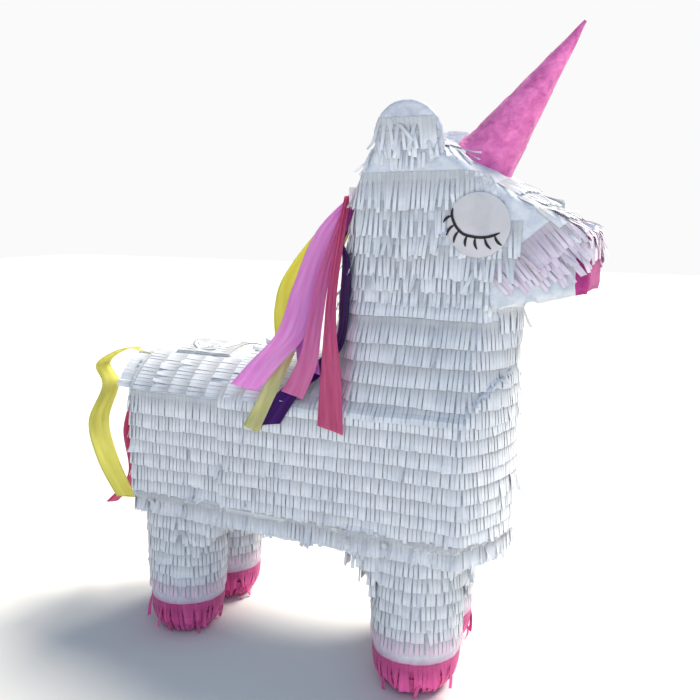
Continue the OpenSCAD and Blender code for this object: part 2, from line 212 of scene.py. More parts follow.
skin_tissue = crumpled("white tissue, glued flat", "#E6EBF1", "#CBD3DE", low="#D8549A")
magenta_tissue = crumpled("magenta tissue, glued flat", "#C3408F", "#9C2C74", fold=9)
hoof_tissue = crumpled("hot pink tissue, glued flat", "#F25FAB", "#C83C8A", fold=7)
tie_tape = crumpled("white paper tape", "#F6EDF4", "#E0D2DE", fold=6, rough=0.55)
# Painted shade: the ear paper is coloured blue-grey, darker than the white tissue, for the shade it stands in
ear_paper = crumpled("glazed paper, painted blue-grey shade", "#D6DBE6", "#AEB6C6", fold=16, depth=0.8, rough=0.45)
flap_paper = crumpled("white wrapping paper", "#F3F4F2", "#E4E6E6")

# Kraft cardboard is brown with darker pulp, and its flutes show as faint stripes 6 mm apart
cardboard = blank("kraft cardboard, fluted")
card_place = add(cardboard, "TexCoord").outputs["Object"]
pulp = add(cardboard, "TexNoise", {"Vector": card_place, "Scale": 1 / (1.2 * MM), "Detail": 3.0})
card_colour = blend_colours(cardboard, pulp.outputs[0], paint("#B5946A"), paint("#CDB08A"))
flutes = add(cardboard, "TexWave", {"Vector": card_place, "Scale": 1 / (6 * MM) / 6.28, "Distortion": 0.3},
             bands_direction="Z")
flute_bump = add(cardboard, "Bump", {"Height": flutes.outputs[1], "Strength": 0.25, "Distance": 0.4 * MM})
card_shader = add(cardboard, "BsdfPrincipled", {"Base Color": card_colour, "Roughness": 0.85, "IOR": 1.5,
                                                "Normal": flute_bump.outputs[0]})
add(cardboard, "OutputMaterial", {0: card_shader.outputs[0]})

for name, node in nodes.items():
    finish = cardboard
    if name.startswith("hoof_"):
        finish = hoof_tissue
    elif name == "nose_cap":
        finish = magenta_tissue
    elif name == "fill_flap":
        finish = flap_paper
    elif name.endswith("_tie"):
        finish = tie_tape
    for slot in node.material_slots:
        slot.material = finish
print("card nodes given a finish", len(nodes))

# %% [markdown]
# ## The form under the fringe
# Paper pulled over a box rounds its corners and fills the angle where the neck meets the back. Each part of
# the box is convex, so a convex hull round its card panels is its outer shape. The hulls are joined by a
# voxel remesh, smoothed, and pushed back out to lie just over the card.

# %% Join the hulls into one form
LEGS = [(end, side) for end in ("front", "hind") for side in ("right", "left")]
parts = [["torso_side_right", "torso_side_left", "torso_back", "torso_belly", "torso_rump", "torso_chest"],
         ["neck_side_right", "neck_side_left", "neck_nape", "neck_throat"],
         ["head_side_right", "head_side_left", "head_crown", "head_jaw", "nose_cap"]]
parts += [[f"leg_{end}_{side}", f"hoof_{end}_{side}"] for end, side in LEGS]


def add_hull(bm, names):
    """The convex hull of some card nodes"""
    spots = {tuple(round(c, 6) for c in v.co) for name in names for v in nodes[name].data.vertices}
    verts = [bm.verts.new(spot) for spot in sorted(spots)]
    made = bmesh.ops.convex_hull(bm, input=verts)
    inside = {e for e in made["geom_interior"] + made["geom_unused"] if isinstance(e, bmesh.types.BMVert)}
    bmesh.ops.delete(bm, geom=list(inside), context="VERTS")


def remeshed(bm, voxel):
    """One closed skin round everything in bm"""
    mesh = bpy.data.meshes.new("form")
    bm.to_mesh(mesh)
    maker = bpy.data.objects.new("form", mesh)
    bpy.context.scene.collection.objects.link(maker)
    remesh = maker.modifiers.new("Remesh", "REMESH")
    remesh.mode, remesh.voxel_size = "VOXEL", voxel
    shown = maker.evaluated_get(bpy.context.evaluated_depsgraph_get())
    result = bmesh.new()
    result.from_mesh(bpy.data.meshes.new_from_object(shown))
    bpy.data.objects.remove(maker)
    return result


hulls = bmesh.new()
for names in parts:
    add_hull(hulls, names)
# The tissue is pulled over the angle between each leg and the belly, which leaves a web about 40 mm high
for end, side in LEGS:
    low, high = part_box(f"leg_{end}_{side}")
    edge, inward = (low.x, 1) if end == "front" else (high.x, -1)
    web = [Vector((edge + inward * dx * MM, y, high.z + dz * MM))
           for dx, dz in ((-24, 3), (14, 3), (16, -44)) for y in (low.y + 4 * MM, high.y - 4 * MM)]
    bmesh.ops.convex_hull(hulls, input=[hulls.verts.new(spot) for spot in web])
card_surface = BVHTree.FromBMesh(hulls)
skin = remeshed(hulls, 3.6 * MM)
SKIN_OFF = 1.2 * MM      # how far the skin lies off the card, and more over its folded edges
for _ in range(9):
    bmesh.ops.smooth_vert(skin, verts=skin.verts, factor=0.5, use_axis_x=True, use_axis_y=True,
                          use_axis_z=True)
skin.normal_update()
for v in skin.verts:
    spot, normal, _, _ = card_surface.find_nearest(v.co)
    off = (v.co - spot).dot(normal)
    square = max(0.5, v.normal.dot(normal))
    wanted = SKIN_OFF + min(1.2, 4 * (1 - square)) * MM
    if off < wanted:
        v.co = v.co + (normal + v.normal).normalized() * (wanted - off) / square
    v.co += v.normal * 0.25 * MM * noise.noise(v.co / (11 * MM))
form = BVHTree.FromBMesh(skin)
print("form", len(skin.verts), "vertices")

# %% [markdown]
# The skin that shows has a hole where the fill door is cut, and stops at the hoof caps. Both are cut with
# bisect planes. A Solidify modifier gives it its thickness, and it stays a closed shell.

# %% Cut and finish the skin


def finish_piece(name, bm, materials, body, replaces=(), thick=None, smooth=True, angle=None):
    """Makes the object, parents it to the empty of the body it rides on, and hides the card parts it stands
    for
    """
    mesh = bpy.data.meshes.new(name)
    bm.to_mesh(mesh)
    bm.free()
    for material in materials:
        mesh.materials.append(material)
    if smooth:
        mesh.shade_smooth()
        if angle:
            mesh.set_sharp_from_angle(angle=math.radians(angle))
    piece = bpy.data.objects.new(name, mesh)
    bpy.context.scene.collection.objects.link(piece)
    if thick:
        wall = piece.modifiers.new("Thickness", "SOLIDIFY")
        wall.thickness, wall.offset = thick, -1
    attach(piece, body)
    if replaces:
        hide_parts(*replaces)
    return piece


door_low, door_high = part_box("fill_flap")
door_rim = 0.6 * MM
hole = [(door_low.x - door_rim, "x", -1), (door_high.x + door_rim, "x", 1),
        (door_low.y - door_rim, "y", -1), (door_high.y + door_rim, "y", 1)]


def over_door(p, margin=0.0):
    """Whether a place on the back is over the door"""
    return (p.z > door_low.z - 20 * MM and hole[0][0] - margin < p.x < hole[1][0] + margin
            and hole[2][0] - margin < p.y < hole[3][0] + margin)


for place, axis, way in hole:
    near = [f for f in skin.faces if over_door(f.calc_center_median(), 8 * MM)]
    ring = list({e for f in near for e in f.edges} | {v for f in near for v in f.verts}) + near
    spot = Vector((place, 0, 0)) if axis == "x" else Vector((0, place, 0))
    bmesh.ops.bisect_plane(skin, geom=ring, plane_co=spot, plane_no=Vector((axis == "x", axis == "y", 0)))
bmesh.ops.delete(skin, geom=[f for f in skin.faces if over_door(f.calc_center_median())], context="FACES")
everything = skin.verts[:] + skin.edges[:] + skin.faces[:]
bmesh.ops.bisect_plane(skin, geom=everything, plane_co=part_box("leg_front_right")[0], plane_no=DOWN,
                       clear_outer=True)
for f in skin.faces:
    f.material_index = int(f.calc_center_median().x > at(226, 0, 0).x)
tissue_skin = finish_piece("tissue_skin", skin, [skin_tissue, magenta_tissue], "body",
                           thick=0.4 * MM)
print("skin", len(tissue_skin.data.polygons), "faces")

# %% [markdown]
# ## How a fringe strip is made
# A real strip is a band of tissue cut into strands along one edge, and glued along the other. The same is
# done here: a grid is split along the cuts with split_edges, the top row stays whole as the glued band, and
# every strand is then laid down the form from its root. A nearest-point lookup keeps it on the surface, and
# it hangs straight down where the form turns away under it. Some cuts are left out, some strands are
# missing, and some stick out, all from a seeded random generator.

# %% Strip maker
LEVELS = 5               # faces from the glued edge to the tip
STRAND = 4.2 * MM        # width of a strand
WAVE_RUN = 55 * MM       # length of the waves in a glued edge


def fan(centre, across, upward, first, last, surface=None, rays=300):
    """Points where rays from centre, turning from angle first to last, leave the form"""
    found = []
    for i in range(rays + 1):
        angle = math.radians(first + (last - first) * i / rays)
        ray = across * math.cos(angle) + upward * math.sin(angle)
        spot = (surface or form).ray_cast(centre, ray)[0]
        if spot:
            found.append(spot)
    return found


def spaced(line, pitch):
    """The same line with its points the same distance apart"""
    if len(line) < 2:
        return []
    run = [0.0]
    for a, b in zip(line, line[1:]):
        run.append(run[-1] + (b - a).length)
    count = max(2, round(run[-1] / pitch))
    result, i = [], 0
    for k in range(count + 1):
        want = run[-1] * k / count
        while i < len(line) - 2 and run[i + 1] < want:
            i += 1
        result.append(line[i].lerp(line[i + 1], (want - run[i]) / max(run[i + 1] - run[i], 1e-9)))
    return result


eye_low, eye_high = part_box("eye_sticker_right")
eye_middle = (eye_low + eye_high) / 2


def pressed(p):
    """Keeps a place on a strand above the floor and under the eye stickers"""
    p.z = max(p.z, 0.9 * MM)
    beside = math.hypot(p.x - eye_middle.x, p.z - eye_middle.z)
    if abs(p.y) > 40 * MM and beside < (eye_high.x - eye_low.x) / 2 + 3 * MM:
        p.y = math.copysign(min(abs(p.y), abs(eye_high.y) - 1.2 * MM), p.y)
    return p


def walk(root, fall, length, surface, hang=0.5):
    """Places and normals down a strand, from its glued end to its tip. It leaves a surface that turns
    under it by more than hang."""
    spot, normal, _, _ = surface.find_nearest(root)
    line, hanging = [(spot, normal)], False
    step = length / LEVELS
    for _ in range(LEVELS):
        along = fall - normal * fall.dot(normal)
        if along.length < 0.2 or hanging:
            along = fall
        ahead = spot + along.normalized() * step
        if not hanging:
            near, tilt, _, _ = surface.find_nearest(ahead)
            hanging = tilt.dot(fall) > hang
            if not hanging:
                ahead, normal = near, (normal + tilt).normalized()
        spot = ahead
        line.append((spot, normal))
    return line


class Fringe:
    """Strips of fringe that become one piece"""

    def __init__(self):
        self.bm = bmesh.new()
        self.strand_map = self.bm.loops.layers.uv.new("strand")
        self.fall_map = self.bm.loops.layers.uv.new("fall")
        self.tone = self.bm.faces.layers.float.new("tone")
        self.area, self.run, self.strands = 0.0, 0.0, 0

    def strip(self, roots, fall, length, seed, low=0.4, high=2.4, stray=0.015, sway=0.9, stuck=0.08,
              gone=0.004, curl=0.05, surface=None, wave=1.2, slope=0.0, material=0, stray_lift=(3, 8),
              uneven=0.008, twist_by=4.0, hang=0.5, cut=0.45):
        """Lays one strip. Lengths, lifts and the gap left by a cut are in mm, and angles in degrees. The
        roots are the ends of the cuts. Stray, stuck, gone and curl are each strand's chances, 0 to 1."""
        surface, rng = surface or form, random.Random(seed)
        if len(roots) < 3:
            return
        start = walk(roots[0], fall, length * MM, surface)
        down = start[1][0] - start[0][0]
        if (roots[1] - roots[0]).cross(-down).dot(start[0][1]) < 0:
            roots = roots[::-1]
            slope = -slope
        count = len(roots) - 1
        shifted = []
        for j, root in enumerate(roots):
            drift = wave * noise.noise(Vector((j * STRAND / WAVE_RUN, seed * 3.7, 0)))
            shifted.append(root + fall * (drift + slope * (j / count - 0.5)) * MM)
        joined = {j for j in range(1, count) if rng.random() < stuck}
        ribbons, tones, tone = [], [], 0.6
        for i in range(count):
            if i not in joined:
                tone = min(1, max(0, rng.gauss(0.62, 0.14)))
            tones.append(tone)
            middle = (shifted[i] + shifted[i + 1]) / 2
            half = (shifted[i + 1] - shifted[i]).length / 2
            is_stray = rng.random() < stray
            lean = math.radians(rng.gauss(0, sway * (4 if is_stray else 1))
                                + 1.5 * sway * noise.noise(Vector((i / 7, seed, 5))))
            side = (shifted[i + 1] - shifted[i]).normalized()
            line = walk(middle, (fall + side * math.tan(lean)).normalized(),
                        length * MM * (1 + rng.gauss(0, uneven)), surface, hang)
            lift = high + abs(rng.gauss(0, 0.2)) + (rng.uniform(*stray_lift) if is_stray else 0)
            flick = rng.uniform(1, 3) if rng.random() < curl else 0
            twist = math.radians(rng.gauss(0, 40 if is_stray else twist_by))
            ribbon = []
            for k, (spot, normal) in enumerate(line):
                t = k / LEVELS
                ahead = line[min(k + 1, LEVELS)][0] - line[max(k - 1, 0)][0]
                across = ahead.cross(normal).normalized()
                if across.dot(side) < 0:
                    across = -across
                ease = t ** 1.6 if is_stray else t * t * (3 - 2 * t)
                rise = low + (lift - low) * ease + flick * t ** 4
                half_now = half if k < 2 else half - cut / 2 * MM
                if k > 1:
                    across = across * math.cos(twist * t) + normal * math.sin(twist * t)
                middle_now = pressed(spot + normal * rise * MM)
                ribbon.append((middle_now - across * half_now, middle_now + across * half_now))
            ribbons.append(ribbon)
        self._cut_and_place(count, joined, ribbons, tones, {i for i in range(count) if rng.random() < gone},
                            material)
        self.run += count * STRAND
        self.area += count * STRAND * length * MM
        self.strands += count

    def _cut_and_place(self, count, joined, ribbons, tones, missing, material):
        bm = self.bm
        verts = bmesh.ops.create_grid(bm, x_segments=count, y_segments=LEVELS, size=1)["verts"]
        faces = list({f for v in verts for f in v.link_faces})
        cuts = []
        for e in {e for f in faces for e in f.edges}:
            a, b = (v.co for v in e.verts)
            j = round((a.x + 1) / 2 * count)
            level = round((1 - max(a.y, b.y)) / 2 * LEVELS)
            if abs(a.x - b.x) < 1e-6 and 0 < j < count and j not in joined and level >= 1:
                cuts.append(e)
        bmesh.ops.split_edges(bm, edges=cuts)
        placed, gone = {}, []
        for f in faces:
            c = f.calc_center_median()
            i = min(count - 1, int((c.x + 1) / 2 * count))
            k = min(LEVELS - 1, int((1 - c.y) / 2 * LEVELS))
            f[self.tone] = tones[i]
            f.material_index = material
            if i in missing and k >= 1:
                gone.append(f)
            for loop in f.loops:
                co = loop.vert.co
                side = 1 if co.x > c.x else 0
                level = k if co.y > c.y else k + 1
                loop[self.strand_map].uv = (i + side, level / LEVELS * 5 + i * 0.37)
                loop[self.fall_map].uv = (side, level / LEVELS)
                placed.setdefault(loop.vert, []).append(ribbons[i][level][side])
        for vert, spots in placed.items():
            vert.co = sum(spots, Vector()) / len(spots)
            vert.co.z = max(vert.co.z, 0.6 * MM)
        if gone:
            bmesh.ops.delete(bm, geom=gone, context="FACES")

    def piece(self, name, materials, body, replaces, slot, rests_on, held="laid"):
        self.bm.normal_update()
        made = finish_piece(name, self.bm, materials, body, replaces, thick=0.16 * MM, smooth=False)
        return made


# %% [markdown]
# ## Body rows
# The torso's strips are 14 to 18 mm apart. The hind strips go round the rump from one flank to the other,
# and the front ones round the chest, so their ends meet in a step behind the ribs. Both hang straight down.

# %% Torso rows
AHEAD, LEFT = Vector((1, 0, 0)), Vector((0, 1, 0))
torso = Fringe()
step_x = -98             # where hind and front strips meet


def edge(is_lowest):
    """The lowest row is torn and uneven along the belly"""
    return {"uneven": 0.05, "gone": 0.03} if is_lowest else {"uneven": 0.012, "gone": 0.004}


for row, tip in enumerate((238, 224, 209, 196, 182, 168, 155)):
    line = fan(at(step_x, 0, tip + 23), AHEAD, LEFT, 270, 90)
    torso.strip(spaced(line, STRAND), DOWN, 23, 10 + row, wave=2.0, high=2.2, **edge(row == 6))
for row, tip in enumerate((250, 236, 221, 207, 192, 178, 165, 154)):
    line = fan(at(step_x - 4, 0, tip + 23), AHEAD, LEFT, -90, 90)
    torso.strip(spaced(line, STRAND), DOWN, 23, 30 + row, wave=1.6, **edge(row == 7))
torso.piece("torso_rows", [white_tissue], "body", ["torso_fringe"], "white_tissue", ["tissue_skin"])

# %% Neck rows
neck = Fringe()
for row, tip in enumerate((349, 326, 308, 290, 272, 258)):
    line = fan(at(88, 0, tip + 25), AHEAD, LEFT, 200, -160)
    # These heights also cut the jaw, in front, and the top of the back, behind
    line = [p for p in line if at(4, 0, 0).x < p.x < at(160 if tip > 330 else 240, 0, 0).x]
    neck.strip(spaced(line, STRAND), DOWN, 25, 50 + row, wave=1.6, slope=2 if row % 2 else -2)
neck.piece("neck_rows", [white_tissue], "body", ["neck_fringe"], "white_tissue", ["tissue_skin"])

# %% Leg and hoof rows
def ring(x, way, top):
    """Points round a leg at a height in mm. The legs lean in by 5.5 mm from the floor to the belly."""
    centre = Vector((x, (43 - 5.5 * top / 150) * way * MM, top * MM))
    return spaced(fan(centre, AHEAD, LEFT, 90 * way, 90 * way + 360), STRAND)


for n, (end, side) in enumerate(LEGS):
    way = -1 if side == "right" else 1
    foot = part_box(f"hoof_{end}_{side}")
    middle = (foot[0] + foot[1]) / 2
    rows, hoof = Fringe(), Fringe()
    for row, tip in enumerate((132, 118, 105, 92, 80, 69, 58, 46)):
        top = tip + 21
        line = ring(middle.x, way, top)
        rows.strip(line, DOWN, 21, 100 + 20 * n + row, wave=2.5, stray=0.03, sway=2, high=1.8, uneven=0.02,
                   twist_by=6)
    for row, (tip, length) in enumerate(((14, 24), (2, 22))):
        top = tip + length - 1
        line = ring(middle.x, way, top)
        hoof.strip(line, DOWN, length, 200 + 20 * n + row, low=0.4, high=1.3, stray=0.05 if row else 0.12,
                   sway=4, uneven=0.03, stray_lift=(3, 8), hang=0.93, gone=0.02)
    rows.piece(f"leg_rows_{end}_{side}", [white_tissue], "body", [f"leg_fringe_{end}_{side}"],
               "white_tissue", ["tissue_skin"])
    hoof.piece(f"hoof_rows_{end}_{side}", [hot_pink_tissue], "body", [f"hoof_fringe_{end}_{side}"],
               "hoof_pink", [f"hoof_{end}_{side}"])

# %% [markdown]
# ## Back rows
# On the back the strands lie lengthwise and point to the tail, and their strips go over from flank to
# flank. The rows stop round the fill door, which has rows of its own that swing with it.

# %% Back and door rows
TAILWARD = Vector((-1, 0, 0))
back_rows, door_rows = Fringe(), Fringe()
ROW = 22                 # a third of the door's side, so that rows end at its edges
door_back = (door_low.x - shoulder_x) / MM
for row in range(11):
    x = door_back + ROW * (8 - row)
    if x < -214:
        break
    line = spaced(fan(at(x, 0, 200), LEFT, UP, 40, 140), STRAND)
    groups = [[]]
    for root in line:
        tip_place = root + TAILWARD * (ROW + 1) * MM
        if over_door(root, 2 * MM) or over_door(tip_place, 2 * MM) or root.z > at(0, 0, 312).z:
            groups.append([])
        else:
            groups[-1].append(root)
    for g, roots in enumerate(groups):
        back_rows.strip(roots, TAILWARD, ROW + 3, 300 + 10 * row + g, wave=1.0, high=1.1, low=0.3,
                        twist_by=2, cut=0.3)
back_rows.piece("back_rows", [white_tissue], "body", ["back_fringe"], "white_tissue", ["tissue_skin"])
for row in range(3):
    x = door_back + ROW * (3 - row) - 0.5
    line = fan(at(x, 0, 200), LEFT, UP, 40, 140)
    line = [p for p in line if door_low.y < p.y < door_high.y]
    door_rows.strip(spaced(line, STRAND), TAILWARD, ROW - 1, 400 + row, low=2.1, high=2.8, stray=0, wave=0,
                    sway=0.8, curl=0)
door_rows.piece("door_rows", [white_tissue], "door", [], "white_tissue", ["fill_flap"])

# %% [markdown]
# ## Head rows
# The head's strips are looser: more of their strands are lifted, twisted and apart. They run round the back
# of the head from cheek to cheek. On the muzzle the strands slant forward, towards the nose.

# %% Head rows
head = Fringe()
head_tips = ((470, 34), (444, 33), (422, 32), (404, 31), (386, 29), (373, 27), (362, 24))
for row, (tip, length) in enumerate(head_tips):
    reach = 24 if tip + length < 450 else 30
    line = fan(at(86, 0, tip + length), AHEAD, LEFT, -reach, -360 + reach)
    if tip < 380:
        line = [p for p in line if p.x < at(158, 0, 0).x]
    head.strip(spaced(line, STRAND), DOWN, length, 500 + row, wave=2.0, stray=0.08, sway=2.6, stuck=0.08,
               gone=0.03, curl=0.2, slope=3 if row % 2 else -2, high=2.6, uneven=0.04, twist_by=11, cut=0.8)
forward = Vector((0.8, 0, -0.6))
for row in range(4):
    spot = at(150 + 17 * row, 0, 455 - 11 * row)
    line = fan(spot - Vector((0.6, 0, 0.8)) * 30 * MM, LEFT, Vector((0.6, 0, 0.8)), 48, 132)
    head.strip(spaced(line, STRAND), forward, 24, 520 + row, stray=0.12, sway=3, gone=0.02, uneven=0.05,
               high=2.6, twist_by=10, cut=0.8, stuck=0.1)
backward = Vector((-0.75, 0, -0.66))
for row in range(5):
    spot = at(112 - 20 * row, 0, 480)
    line = fan(spot, LEFT, UP, 35, 145)
    head.strip(spaced(line, STRAND), backward, 26, 540 + row, stray=0.08, sway=4, gone=0.02, uneven=0.05,
               high=2.4, twist_by=10, cut=0.7, stuck=0.1)
head.piece("head_rows", [white_tissue], "body", ["head_fringe"], "white_tissue", ["tissue_skin"])

muzzle = Fringe()
slant = Vector((0.66, 0, -0.75))
rising = Vector((0.75, 0, 0.66))
for row in range(4):
    spot = at(167 + 13 * row, 0, 404)
    line = [p for p in fan(spot, LEFT, rising, -60, 240) if p.z > (392 + 3 * row) * MM]
    muzzle.strip(spaced(line, STRAND), slant, 26, 560 + row, stray=0.1, sway=3, gone=0.03,
                 stuck=0.1, uneven=0.05, high=2.4, twist_by=10, cut=0.7, hang=0.8)
muzzle.piece("muzzle_rows", [lilac_tissue], "body", ["muzzle_fringe"], "muzzle_tissue", ["tissue_skin"])

# %% [markdown]
# ## Crepe streamers
# Mane and tail are strips of dyed crepe tissue about 25 mm wide, gathered and taped at one end. They are
# thin enough to glow when the light is behind them, so the shader lets some light through. Fine crinkles
# cross each strip, and softer folds run down it. The strip map is in metres, so both keep their real size.

# %% Crepe material


def crepe(name, light, shade, glow=0.6):
    m = blank(name)
    place = add(m, "UVMap", uv_map="strip").outputs[0]
    # Folds along the strip, some 6 mm apart, and longer than they are wide; the colour is painted darker in
    # their hollows as painted shade
    long_way = add(m, "Mapping", {"Vector": place, "Scale": (1 / (6 * MM), 1 / (60 * MM), 1.0)})
    folds = add(m, "TexNoise", {"Vector": long_way.outputs[0], "Scale": 1.0, "Detail": 3.0})
    soft = add(m, "MapRange", {0: folds.outputs[0], 1: 0.32, 2: 0.68})
    colour = blend_colours(m, soft.outputs[0], paint(shade), paint(light))
    # Crinkles across it, drawn 1.4 mm apart because the real 0.5 mm ones are too fine to show
    short_way = add(m, "Mapping", {"Vector": place, "Scale": (1 / (9 * MM), 1 / (1.4 * MM), 1.0)})
    crinkles = add(m, "TexNoise", {"Vector": short_way.outputs[0], "Scale": 1.0, "Detail": 1.0})
    height = add(m, "Math", {0: folds.outputs[0], 1: 2.5, 2: crinkles.outputs[0]}, operation="MULTIPLY_ADD")
    bump = add(m, "Bump", {"Height": height.outputs[0], "Strength": 0.4, "Distance": 0.5 * MM})
    shader = add(m, "BsdfPrincipled", {"Base Color": colour, "Roughness": 0.6, "IOR": 1.47,
                                       "Specular IOR Level": 0.35, "Sheen Weight": 0.15,
                                       "Normal": bump.outputs[0]})
    through_it = add(m, "BsdfTranslucent", {"Color": colour, "Normal": bump.outputs[0]})
    both = add(m, "MixShader", {0: glow, 1: shader.outputs[0], 2: through_it.outputs[0]})
    add(m, "OutputMaterial", {0: both.outputs[0]})
    return m


# %% Streamer maker


def through(stations, t):
    """A smooth curve through the stations (Catmull-Rom), with t from 0 to 1"""
    place = t * (len(stations) - 1)
    i = min(len(stations) - 2, int(place))
    u = place - i
    near = [stations[max(0, min(len(stations) - 1, j))] for j in (i - 1, i, i + 1, i + 2)]
    return [0.5 * (2 * b + (c - a) * u + (2 * a - 5 * b + 4 * c - d) * u * u
                   + (3 * b - a - 3 * c + d) * u ** 3) for a, b, c, d in zip(*near)]


def streamer(name, stations, material, body, seed, twist=6.0, cut=3.0, wave=1.0):
    """A strip through stations of x, y, z, heading and width, in millimetres and degrees"""
    across, along = 8, 72
    bm = bmesh.new()
    strip_map = bm.loops.layers.uv.new("strip")
    grid = bmesh.ops.create_grid(bm, x_segments=across, y_segments=along, size=1)["verts"]
    middle = [through(stations, k / along) for k in range(along + 1)]
    centres = [at(*m[:3]) for m in middle]
    length = sum((b - a).length for a, b in zip(centres, centres[1:]))
    full = max(m[4] for m in middle)
    rows = []
    for k, m in enumerate(middle):
        t = k / along
        ahead = (centres[min(k + 1, along)] - centres[max(k - 1, 0)]).normalized()
        heading = math.radians(m[3])
        wide = Vector((-math.sin(heading), math.cos(heading), 0))
        face = ahead.cross(wide).normalized()
        roll = math.radians(twist * noise.noise(Vector((t * 3, seed, 0))))
        wide, face = (wide * math.cos(roll) + face * math.sin(roll),
                      face * math.cos(roll) - wide * math.sin(roll))
        rows.append((centres[k], wide, face, m[4], ahead, t))
    for v in grid:
        u, k = v.co.x, round((1 - v.co.y) / 2 * along)
        centre, wide, face, width, ahead, t = rows[k]
        pleat = 1.1 * (1 - width / full) * math.sin(u * 9 + seed)
        ripple = wave * (0.5 + 0.5 * abs(u)) * noise.noise(Vector((u * 0.9, t * length * 22, seed + 9)))
        cup = 0.9 * wave * (u * u - 0.3) * math.sin(t * 9 + seed)
        end = cut * u * max(0, t - 0.9) * 10
        v.co = centre + (wide * u * width / 2 + face * (pleat + ripple + cup) + ahead * end) * MM
    bm.normal_update()
    bm.verts.index_update()
    for f in bm.faces:
        for loop in f.loops:
            column, row = loop.vert.index % (across + 1), loop.vert.index // (across + 1)
            loop[strip_map].uv = (column / across * full * MM, row / along * length)
    piece = finish_piece(name + "_crepe", bm, [material], body, [name], thick=0.25 * MM, angle=50)
    print(name, "cut", round(full), "x", round(length / MM), "mm")
    return piece


# %% Mane
MANE = {
    "mane_yellow": ("#FBF99A", "#F0EC74", [
        [12.8, 6, 459, -30, 7], [-22, 2, 426, -50, 16], [-50, -10, 381, -60, 24],
        [-54, -22, 350, -60, 25], [-46, -36, 318, -60, 24]]),
    "mane_orange": ("#DE8872", "#C46A54", [
        [12.8, -1, 459, -30, 6], [-16, -8, 412, -60, 16], [-34, -20, 366, -60, 24],
        [-36, -36, 330, -60, 22]]),
    "mane_pink": ("#FFD0FF", "#F6A8EA", [
        [12.8, -9, 460, -30, 7], [-4, -36, 424, -65, 20], [-12, -62, 374, -65, 24],
        [-18, -77, 334, -74, 28], [-44, -81.5, 304, -86, 32], [-68, -81.5, 278, -88, 34]]),
    "mane_rose": ("#FFB2E2", "#F28AC8", [
        [12.8, -17, 459, -30, 6], [4, -50, 396, -70, 11], [5, -75, 345, -84, 14],
        [0, -81.7, 308, -88, 20], [-16, -81.7, 276, -90, 26]]),
    "mane_magenta": ("#F78DBE", "#E36C9F", [
        [12.8, -25, 458, -30, 6], [16, -59, 384, -82, 9], [21, -77, 340, -88, 12],
        [22, -78.2, 300, -90, 20], [22, -78.2, 246, -90, 26]]),
    "mane_mauve": ("#E295E2", "#C678C8", [
        [12, -10, 447, -30, 6], [-3, -44, 385, -65, 14], [-7, -67, 334, -76, 20],
        [1, -80.2, 300, -88, 22]]),
    "mane_purple": ("#6C2AA6", "#420A6A", [
        [14.4, -2, 449, -10, 6], [15, -9, 441, 0, 6], [13.8, -18, 430, 15, 8], [12.2, -32, 415, 33, 14],
        [19.1, -39.1, 398, 48, 20], [17.4, -38.5, 360, 50, 22], [15.6, -45, 325, 50, 20],
        [2, -62, 300, 75, 20], [-20, -78.2, 278, 90, 22], [-44, -78.2, 244, 90, 24]]),
    "mane_lime": ("#F6F4C8", "#E2E0A6", [
        [12.8, 5, 450, -30, 6], [-18, -24, 370, -60, 12], [-30, -58, 318, -74, 14],
        [-40, -80.4, 278, -88, 16], [-62, -80.4, 238, -90, 20]]),
}
TAIL = {
    "tail_yellow": ("#F8F6A4", "#E6E486", [
        [-231, -8, 284, 0, 8], [-262, -10, 292, 0, 16], [-300, -12, 272, -10, 20],
        [-289, -14, 248, -20, 22], [-308, -16, 204, -30, 24], [-297, -16, 160, -30, 24],
        [-270, -18, 118, -30, 20]]),
    "tail_crimson": ("#F08BB4", "#D05A88", [
        [-231, 0, 278, 0, 6], [-258, 0, 242, -10, 14], [-276, 3, 195, -30, 20], [-274, 8, 140, -30, 24],
        [-312, 6, 98, -20, 20]]),
    "tail_maroon": ("#B04560", "#8A2E44", [
        [-231, 7, 274, 0, 6], [-247, 15, 236, 0, 18], [-256, 20, 180, -20, 24], [-260, 22, 118, -20, 24]]),
    "tail_purple": ("#86409A", "#642878", [
        [-231, 14, 272, 0, 6], [-240, 34, 230, 0, 18], [-244, 40, 140, -10, 24], [-246, 40, 56, -10, 24]]),
}
for body, strips in (("mane", MANE), ("tail", TAIL)):
    for seed, (name, (light, shade, stations)) in enumerate(strips.items()):
        slot = [part["material_slot"] for part in frame["record"]["subparts"] if part["node"] == name][0]
        streamer(name, stations, crepe(f"{name} crepe", light, shade), body, seed + 1)

# %% [markdown]
# ## Horn
# The horn is a paper cone with sheets of orchid tissue wound round it on the slant, so its creases and the
# edges of the sheets climb like a screw. A cone from create_cone is subdivided, and its points are moved in
# and out.

